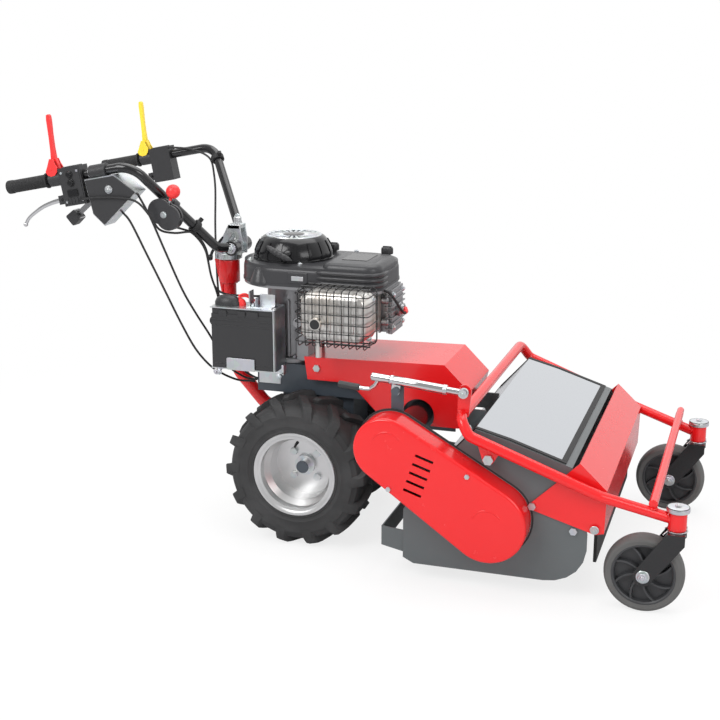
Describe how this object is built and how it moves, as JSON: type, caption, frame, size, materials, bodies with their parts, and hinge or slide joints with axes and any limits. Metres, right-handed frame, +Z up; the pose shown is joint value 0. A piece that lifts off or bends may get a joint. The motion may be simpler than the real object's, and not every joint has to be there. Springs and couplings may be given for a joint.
{
  "type": "walk-behind flail mower",
  "caption": "Walk-behind flail mower: two-wheeled tractor with engine, swivelling handlebar, belt-driven flail deck and height-adjustable front caster frame.",
  "frame": {"origin": "ground level, midway along and across the footprint", "axes": "+X forward towards the casters, +Y to the operator's left, +Z up"},
  "size_m": [1.8585, 0.864, 1.1475],
  "materials": {
    "red_paint": "gloss",
    "deck_paint": "satin",
    "chassis_paint": "satin",
    "bar_paint": "gloss",
    "silver_paint": "satin",
    "zinc": "zinc plated",
    "bare_steel": "machined",
    "muffler_steel": "heat-tinted sheet",
    "bright_chrome": "polished",
    "cast_alloy": "as cast",
    "cast_housing": "painted casting",
    "tyre_rubber": "matte",
    "black_rubber": "matte",
    "tread_rubber": "matte",
    "black_plastic": "fine grain",
    "gloss_black": "gloss",
    "grey_plastic": "fine grain",
    "hub_plastic": "fine grain",
    "red_plastic": "semi-gloss",
    "yellow_plastic": "semi-gloss"
  },
  "bodies": {
    "chassis": {"chassis_frame": "chassis_paint", "gearbox_housing": "cast_housing", "engine_block": "cast_alloy", "engine_shroud": "grey_plastic", "recoil_cover": "gloss_black", "filler_caps": "black_plastic", "muffler": "muffler_steel", "muffler_guard": "bar_paint", "battery": "black_plastic", "battery_tray": "zinc", "steering_column": "red_paint", "belt_hood": "red_paint", "pto_gearbox": "bar_paint", "mower_deck": "deck_paint", "belt_cover": "red_paint", "fasteners": "zinc", "rotor_bearings": "bare_steel", "drive_belts": "black_rubber", "height_post": "chassis_paint", "cables_lower": "black_rubber"},
    "wheel_right": {"tyre_right": "tyre_rubber", "rim_right": "silver_paint", "hub_right": "zinc"},
    "wheel_left": {"tyre_left": "tyre_rubber", "rim_left": "silver_paint", "hub_left": "zinc"},
    "swivel": {"swivel_head": "cast_alloy"},
    "handlebar": {"handlebar_right": "bar_paint", "handlebar_left": "bar_paint", "grip_right": "black_rubber", "grip_left": "black_rubber", "switch_right": "black_plastic", "switch_left": "black_plastic", "console_box": "zinc", "throttle_housing": "grey_plastic", "cables_upper": "black_rubber"},
    "stop_lever": {"stop_lever": "red_plastic"},
    "drive_lever": {"drive_lever": "yellow_plastic"},
    "clutch_lever": {"clutch_lever": "bright_chrome"},
    "shift_lever": {"shift_lever": "bare_steel"},
    "throttle_lever": {"throttle_lever": "red_plastic"},
    "starter_grip": {"starter_grip": "black_plastic"},
    "caster_frame": {"caster_frame": "red_paint"},
    "fork_right": {"fork_right": "bar_paint"},
    "fork_left": {"fork_left": "bar_paint"},
    "caster_right": {"caster_hub_right": "hub_plastic", "caster_tread_right": "tread_rubber"},
    "caster_left": {"caster_hub_left": "hub_plastic", "caster_tread_left": "tread_rubber"},
    "front_hood": {"front_hood": "red_paint"},
    "hood_flap": {"hood_flap": "black_rubber"},
    "spindle": {"spindle_tube": "bright_chrome"},
    "spindle_rod": {"spindle_rod": "bright_chrome"},
    "crank": {"crank_handle": "bright_chrome"},
    "rotor": {"flail_rotor": "bare_steel"},
    "flails_front": {"flails_front": "bare_steel"},
    "flails_rear": {"flails_rear": "bare_steel"},
    "cross_shaft": {"cross_shaft": "bare_steel"},
    "input_shaft": {"input_shaft": "bare_steel"},
    "crankshaft": {"crankshaft": "bare_steel"}
  },
  "joints": [
    {"name": "wheel_right_spin", "type": "hinge", "parent": "chassis", "child": "wheel_right", "pos_m": [-0.1155, -0.18, 0.205], "axis": [0, 1, 0], "continuous": true},
    {"name": "wheel_left_spin", "type": "hinge", "parent": "chassis", "child": "wheel_left", "pos_m": [-0.1155, 0.18, 0.205], "axis": [0, 1, 0], "continuous": true},
    {"name": "handlebar_swing", "type": "hinge", "parent": "chassis", "child": "swivel", "pos_m": [-0.3995, 0, 0.734], "axis": [0, 0, 1], "range_deg": [-28, 28], "deforming": ["cables_lower", "cables_upper"]},
    {"name": "handlebar_tilt", "type": "hinge", "parent": "swivel", "child": "handlebar", "pos_m": [-0.3705, 0, 0.774], "axis": [0, 1, 0], "range_deg": [-10, 15], "deforming": ["cables_upper", "cables_lower"]},
    {"name": "stop_lever_press", "type": "hinge", "parent": "handlebar", "child": "stop_lever", "pos_m": [-0.78555, -0.264, 1.00399], "axis": [0, -1, 0], "range_deg": [0, 70], "stiffness_Nm_per_rad": 1},
    {"name": "drive_lever_press", "type": "hinge", "parent": "handlebar", "child": "drive_lever", "pos_m": [-0.78555, 0.264, 1.00399], "axis": [0, -1, 0], "range_deg": [0, 70], "stiffness_Nm_per_rad": 1},
    {"name": "clutch_lever_pull", "type": "hinge", "parent": "handlebar", "child": "clutch_lever", "pos_m": [-0.75762, -0.264, 0.92282], "axis": [0, 1, 0], "range_deg": [0, 22], "stiffness_Nm_per_rad": 1.5, "springref_deg": -11.46},
    {"name": "shift_lever_turn", "type": "hinge", "parent": "handlebar", "child": "shift_lever", "pos_m": [-0.65545, -0.224, 0.95278], "axis": [0, 1, 0], "range_deg": [-10, 10]},
    {"name": "throttle_turn", "type": "hinge", "parent": "handlebar", "child": "throttle_lever", "pos_m": [-0.4805, -0.225, 0.89], "axis": [0, 1, 0], "range_deg": [0, 40]},
    {"name": "starter_pull", "type": "slide", "parent": "chassis", "child": "starter_grip", "axis": [-0.6, -0.8, 0], "range_m": [0, 0.25]},
    {"name": "frame_tilt", "type": "hinge", "parent": "chassis", "child": "caster_frame", "pos_m": [0.4445, 0, 0.354], "axis": [0, 1, 0], "range_deg": [-4, 4]},
    {"name": "spindle_pivot", "type": "hinge", "parent": "chassis", "child": "spindle", "pos_m": [0.2035, -0.366, 0.503], "axis": [0, 1, 0], "range_deg": [-6, 6]},
    {"name": "rod_slide", "type": "slide", "parent": "spindle", "child": "spindle_rod", "axis": [0.9956, 0, -0.0938], "range_m": [-0.014, 0.014]},
    {"name": "crank_turn", "type": "hinge", "parent": "spindle", "child": "crank", "pos_m": [0.20585, -0.366, 0.52789], "axis": [0.9956, 0, -0.0938], "range_deg": [-360, 360]},
    {"name": "caster_right_swivel", "type": "hinge", "parent": "caster_frame", "child": "fork_right", "pos_m": [0.9005, -0.351, 0.24], "axis": [0, 0, 1], "continuous": true},
    {"name": "caster_left_swivel", "type": "hinge", "parent": "caster_frame", "child": "fork_left", "pos_m": [0.9005, 0.351, 0.24], "axis": [0, 0, 1], "continuous": true},
    {"name": "caster_right_spin", "type": "hinge", "parent": "fork_right", "child": "caster_right", "pos_m": [0.8295, -0.351, 0.0975], "axis": [0, 1, 0], "continuous": true},
    {"name": "caster_left_spin", "type": "hinge", "parent": "fork_left", "child": "caster_left", "pos_m": [0.8295, 0.351, 0.0975], "axis": [0, 1, 0], "continuous": true},
    {"name": "front_hood_lift", "type": "hinge", "parent": "chassis", "child": "front_hood", "pos_m": [0.5525, 0, 0.239], "axis": [0, -1, 0], "range_deg": [0, 50]},
    {"name": "flap_swing", "type": "hinge", "parent": "front_hood", "child": "hood_flap", "pos_m": [0.7055, 0, 0.197], "axis": [0, 1, 0], "range_deg": [0, 30]},
    {"name": "rotor_spin", "type": "hinge", "parent": "chassis", "child": "rotor", "pos_m": [0.4525, 0, 0.197], "axis": [0, 1, 0], "continuous": true},
    {"name": "flails_front_swing", "type": "hinge", "parent": "rotor", "child": "flails_front", "pos_m": [0.5175, 0, 0.197], "axis": [0, -1, 0], "range_deg": [-35, 90]},
    {"name": "flails_rear_swing", "type": "hinge", "parent": "rotor", "child": "flails_rear", "pos_m": [0.3875, 0, 0.197], "axis": [0, 1, 0], "range_deg": [-35, 90]},
    {"name": "cross_shaft_spin", "type": "hinge", "parent": "chassis", "child": "cross_shaft", "pos_m": [0.1925, 0, 0.364], "axis": [0, 1, 0], "continuous": true},
    {"name": "input_shaft_spin", "type": "hinge", "parent": "chassis", "child": "input_shaft", "pos_m": [0.1925, 0, 0.44], "axis": [0, 0, 1], "continuous": true},
    {"name": "crankshaft_spin", "type": "hinge", "parent": "chassis", "child": "crankshaft", "pos_m": [-0.2025, 0, 0.44], "axis": [0, 0, 1], "continuous": true}
  ],
  "couplings": [
    {"joint": "spindle_pivot", "follows": "frame_tilt", "ratio": -0.50192},
    {"joint": "rod_slide", "follows": "frame_tilt", "m_per_rad": 0.16289},
    {"joint": "crank_turn", "follows": "frame_tilt", "ratio": 85.287},
    {"joint": "cross_shaft_spin", "follows": "rotor_spin", "ratio": 1.25},
    {"joint": "input_shaft_spin", "follows": "rotor_spin", "ratio": -1.25},
    {"joint": "crankshaft_spin", "follows": "rotor_spin", "ratio": -1.5625}
  ]
}
